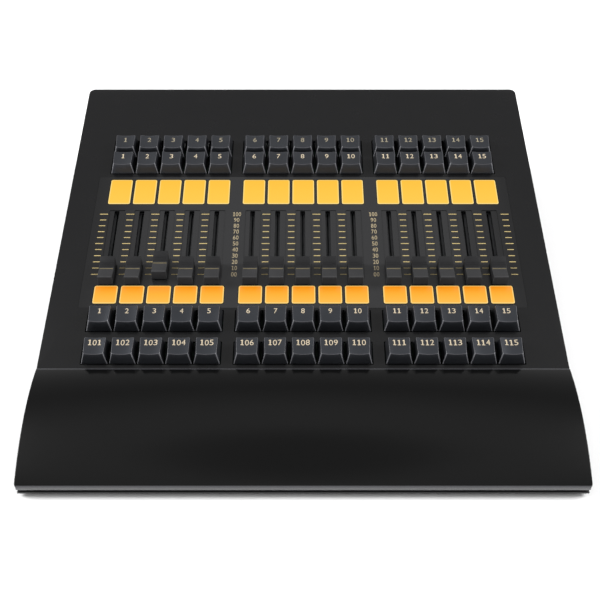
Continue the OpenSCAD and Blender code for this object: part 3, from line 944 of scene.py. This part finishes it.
def lens(bm, uv, x, s, l):
    """A lens with a soft edge and a flange. Its sides below the top take the second material.

    Its coordinates are the distance from its edge in millimetres, and the place along it from 0
    in front to 1 at the rear."""
    insets = []

    def ring(inset, n):
        insets.append(inset)
        points = centred_rect(x, s, WINDOW_W - 2 * inset, l - 2 * inset, max(0.2, WINDOW_R - inset), 5)
        return [(px, py, n) for px, py in points]

    rings = [ring(-LENS_FLANGE, FLANGE_LOW), ring(-LENS_FLANGE, FLANGE_HIGH), ring(0, FLANGE_HIGH),
             ring(0, LENS_EDGE_N)]
    side_count = len(rings)
    for step in range(4):
        angle = math.radians(30 * step)
        rings.append(ring(LENS_ROUND * (1 - math.cos(angle)), LENS_EDGE_N + LENS_TOP_N * math.sin(angle)))
    rings += [ring(inset, LENS_TOP_N) for inset in LENS_INSETS]
    rows = loft(bm, rings)
    inset_of = {v: inset for row, inset in zip(rows, insets) for v in row}
    sides = {v for row in rows[:side_count] for v in row}
    for face in {f for row in rows for v in row for f in v.link_faces}:
        face.material_index = int(all(v in sides for v in face.verts))
        for corner in face.loops:
            corner[uv].uv = (inset_of[corner.vert], (corner.vert.co.y - s) / l + 0.5)


def make_windows():
    for name, (s, l), material in (("square_windows", SQUARE_WINDOW, "square_lens"),
                                   ("tall_windows", TALL_WINDOW, "tall_lens")):
        bm = bmesh.new()
        uv = bm.loops.layers.uv.new("lens")
        for x in column_x:
            lens(bm, uv, x + LABEL_SHIFT, s, l)
        piece = make_piece(name, bm, "case", [paint[material], paint["switch"]],
                           stands_for=["label_windows"])
        # The lamps are too weak to tint what stands beside them.
        piece.visible_diffuse = False


SCALE_STEPS = 11
LONG_STEPS = (5, 10)
SCALE_NUMBER = 4.0
SCALE_NARROW = 0.78
TICK_GAP = 6.0
TICK_LONG = 6.0
TICK_SHORT = 4.8
TICK_HALF = 0.38
TICK_LOW = -0.01
# Places from the middle of a column.
FIRST_TICK_X = -9.6
TICK_X = -8.6
LAST_TICK_X = 12.1
NUMBER_X = -11.9


def tick_columns():
    """Where each column of scale lines is centred.

    There is one left of every slot but the first of a later bank, and one right of the last."""
    places = [column_x[0] + FIRST_TICK_X]
    for i in range(1, COLUMNS):
        if i % BANK:
            places.append(column_x[i] + TICK_X)
    places.append(column_x[-1] + LAST_TICK_X)
    return places


def make_scale_lines():
    bm = bmesh.new()
    for x in tick_columns():
        for step in range(SCALE_STEPS):
            half = (TICK_LONG if step in LONG_STEPS else TICK_SHORT) / 2
            s = FADER_ZERO + step * TICK_GAP
            block(bm, (x - half, s - TICK_HALF, TICK_LOW), (x + half, s + TICK_HALF, INK_T))
    make_piece("scale_lines", bm, "case", [paint["scale_ink"]])


def make_scale_numbers():
    bm = bmesh.new()
    for i in (BANK, 2 * BANK):
        for step in range(SCALE_STEPS):
            mesh = number_mesh(f"{step * 10:02d}", SCALE_NUMBER)
            place = Matrix.Translation((column_x[i] + NUMBER_X, FADER_ZERO + step * TICK_GAP, INK_LIFT))
            mesh.transform(place @ Matrix.Diagonal((SCALE_NARROW, 1, 1, 1)))
            bm.from_mesh(mesh)
    make_piece("scale_numbers", bm, "case", [paint["number_ink"]], smooth=20)


# ---------------------------------------------------------------- wrist rest

REST_CHORD = 89.2
REST_RISE = 7.2
REST_WALL = 2.5
LIP_R = 2.2
SEAM_STEP = 0.9
SEAM_GAP = 0.25
FLANGE = 11.0
SHEET_T = 1.5
# How far the middle of the lip lies behind the front end of the chord.
LIP_INSET = 0.6
# The small round at the rear edge, beside the seam.
SEAM_EDGE_R = 0.7
SEAM_EDGE_TURN = 0.005
SEAM_EDGE_DROP = 0.05
ARC_TURN = 0.008
INNER_TURN = 0.02
ARC_STEPS = 64
LIP_STEPS = 16
INNER_STEPS = 40
REST_CORNER = 2.5
REST_ROUND = 0.8
# Edges that reach below this belong to the flange.
ROUND_FROM = -6.5
# Beyond these a face of the rest belongs to its rear edge, which carries a painted highlight.
REAR_EDGE_S = -1
REAR_EDGE_N = -0.5


def on_circle(middle, radius, angle):
    """A point of a circle at an angle from its top, in radians, positive towards the rear."""
    return middle.x + radius * math.sin(angle), middle.y + radius * math.cos(angle)


def rest_profile():
    """The wrist rest's closed section: arc, round lip, inner arc and the flange at the seam."""
    radius = ((REST_CHORD / 2) ** 2 + REST_RISE ** 2) / (2 * REST_RISE)
    middle = Vector((-REST_CHORD / 2, SEAM_STEP + REST_RISE - radius))
    lip_turn = math.asin((REST_CHORD / 2 - LIP_INSET) / (radius - LIP_R))
    lip = middle + (radius - LIP_R) * Vector((-math.sin(lip_turn), math.cos(lip_turn)))
    end_turn = math.asin((REST_CHORD / 2 - SEAM_GAP) / radius)
    edge_turn = end_turn - SEAM_EDGE_TURN
    edge = middle + (radius - SEAM_EDGE_R) * Vector((math.sin(edge_turn), math.cos(edge_turn)))
    points = []
    for step in range(5):
        angle = math.radians(90 * step / 4)
        points.append((-SEAM_GAP - SEAM_EDGE_R * (1 - math.cos(angle)),
                       edge.y + SEAM_EDGE_R * math.sin(angle) - SEAM_EDGE_DROP))
    for step in range(ARC_STEPS + 1):
        angle = end_turn - ARC_TURN - (end_turn - ARC_TURN + lip_turn) * step / ARC_STEPS
        points.append(on_circle(middle, radius, angle))
    for step in range(1, LIP_STEPS + 1):
        points.append(on_circle(lip, LIP_R, -lip_turn - math.pi * step / LIP_STEPS))
    inner = radius - REST_WALL
    inner_end = math.asin((REST_CHORD / 2 - SEAM_GAP - SHEET_T) / inner)
    for step in range(1, INNER_STEPS + 1):
        angle = -lip_turn + INNER_TURN + (inner_end + lip_turn - INNER_TURN) * step / INNER_STEPS
        points.append(on_circle(middle, inner, angle))
    points += [(-SEAM_GAP - SHEET_T, -FLANGE), (-SEAM_GAP, -FLANGE)]
    return points


def on_rest_end(edge):
    """Whether an edge goes round either end of the rest, other than round its flange."""
    return on_one_side(edge) and min(v.co.z for v in edge.verts) > ROUND_FROM


def make_wrist_rest():
    """The rest. Its lip takes the second material, a painted highlight with a real higher gloss, and its rear
    edge the third, another painted highlight.
    """
    bm = bmesh.new()
    profile = rest_profile()
    front = min(s for s, _ in profile)

    def end(sign):
        ring = []
        for s, n in profile:
            reach = max(0.0, front + REST_CORNER - s)
            x = CASE_W / 2 - REST_CORNER + math.sqrt(REST_CORNER ** 2 - reach ** 2)
            ring.append((sign * x, s, n))
        return ring

    loft(bm, [end(-1), end(1)])
    bmesh.ops.recalc_face_normals(bm, faces=bm.faces)
    round_edges(bm, on_rest_end, REST_ROUND, 3)
    for face in bm.faces:
        middle = face.calc_center_median()
        if middle.y < front + LIP_R and abs(face.normal.x) < 0.9:
            face.material_index = 1
        elif middle.y > REAR_EDGE_S and middle.z > REAR_EDGE_N:
            face.material_index = 2
    make_piece("wrist_rest_shell", bm, "case", [paint["rest"], paint["lip"], paint["rest_edge_painted_highlight"]],
               stands_for=["wrist_rest"], smooth=30)


# ---------------------------------------------------------------- CAD nodes that are shown as they are

WELD_DISTANCE = 1e-6
BEVEL_ANGLE = math.radians(40)
# The node, its material, and how far its edges are rounded, in millimetres.
SHOWN_NODES = [
    ("base_plate", "case", 0.3),
    ("case_walls", "case", 0.3),
    ("key_switches", "switch", 0),
    ("fader_frames", "dull_steel", 0),
    ("circuit_boards", "board", 0),
    ("power_supply", "aluminium", 0.3),
    ("power_inlet", "inlet", 0.3),
    ("usb_socket", "steel", 0.15),
    ("rubber_feet", "rubber", 0.5),
    ("case_screws", "dark_steel", 0.15),
    ("power_rocker", "rocker", 0.3),
]


def dress(node, material, radius):
    """Gives a CAD node its material, and small round edges unless radius is 0."""
    piece = frame["nodes"][node]
    piece.data.materials.clear()
    piece.data.materials.append(paint[material])
    if radius:
        weld = piece.modifiers.new("weld", "WELD")
        weld.merge_threshold = WELD_DISTANCE
        bevel = piece.modifiers.new("bevel", "BEVEL")
        bevel.width = radius * MM
        bevel.segments = 2
        bevel.limit_method = "ANGLE"
        bevel.angle_limit = BEVEL_ANGLE


# ---------------------------------------------------------------- the scene

bpy.context.scene.view_settings.view_transform = "Standard"
make_camera()
make_floor()
make_lights()
make_keys()
make_faders()
make_top_panel()
make_overlay()
make_windows()
make_scale_lines()
make_scale_numbers()
make_wrist_rest()
for node, material, radius in SHOWN_NODES:
    dress(node, material, radius)
